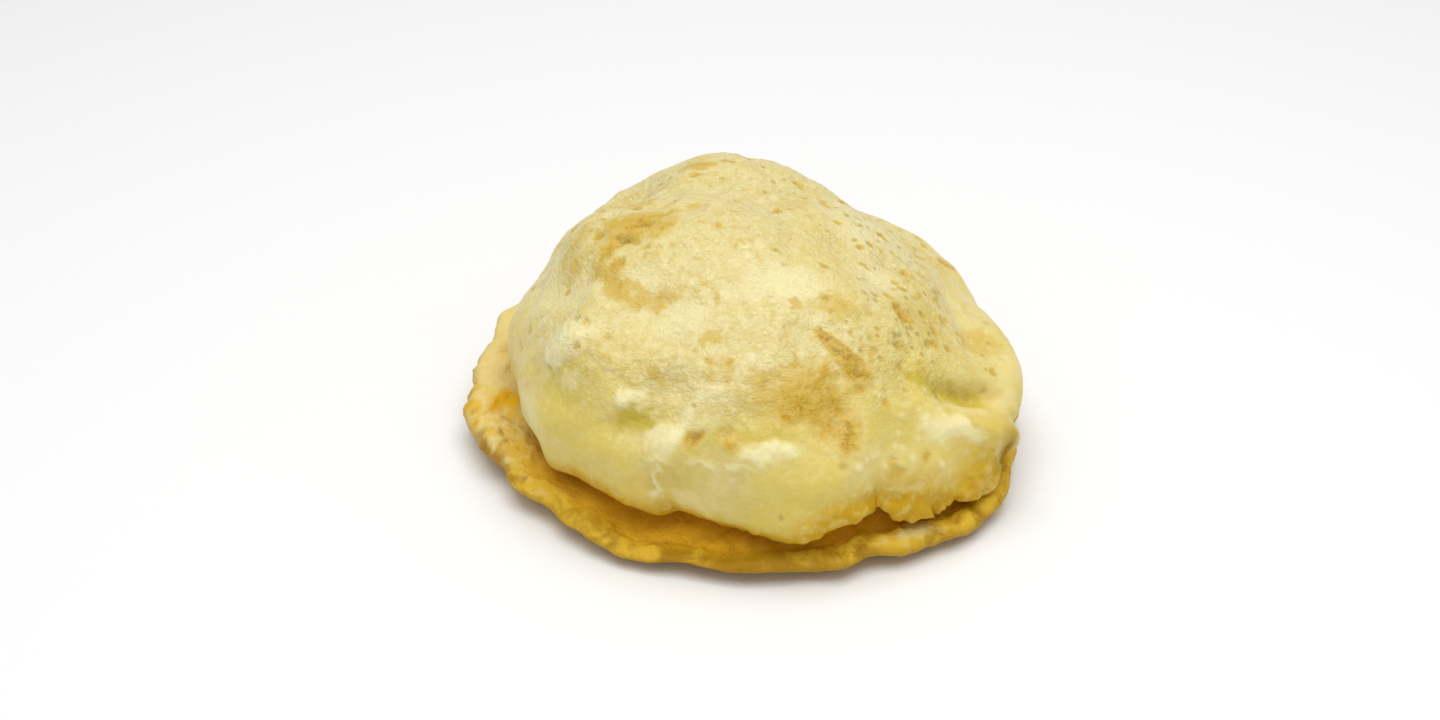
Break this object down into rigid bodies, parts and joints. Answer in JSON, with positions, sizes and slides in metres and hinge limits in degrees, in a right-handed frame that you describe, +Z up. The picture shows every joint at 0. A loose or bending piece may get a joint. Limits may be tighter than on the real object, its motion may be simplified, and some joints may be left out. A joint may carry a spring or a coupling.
{
  "type": "puri",
  "caption": "Puffed deep-fried flatbread: an uneven dome hanging over a crease and a wavy lower lip, resting on a flat base.",
  "frame": {"origin": "the middle of the footprint's box, on the surface that the puri rests on", "axes": "+Z up through the dome; -Y is the front, where the dome hangs low over the gutter and the lip shows most"},
  "size_m": [0.1602, 0.1568, 0.0715],
  "materials": {
    "fried_dough": "satin, slightly oily"
  },
  "bodies": {
    "root": {"puri": "fried_dough"}
  },
  "joints": []
}
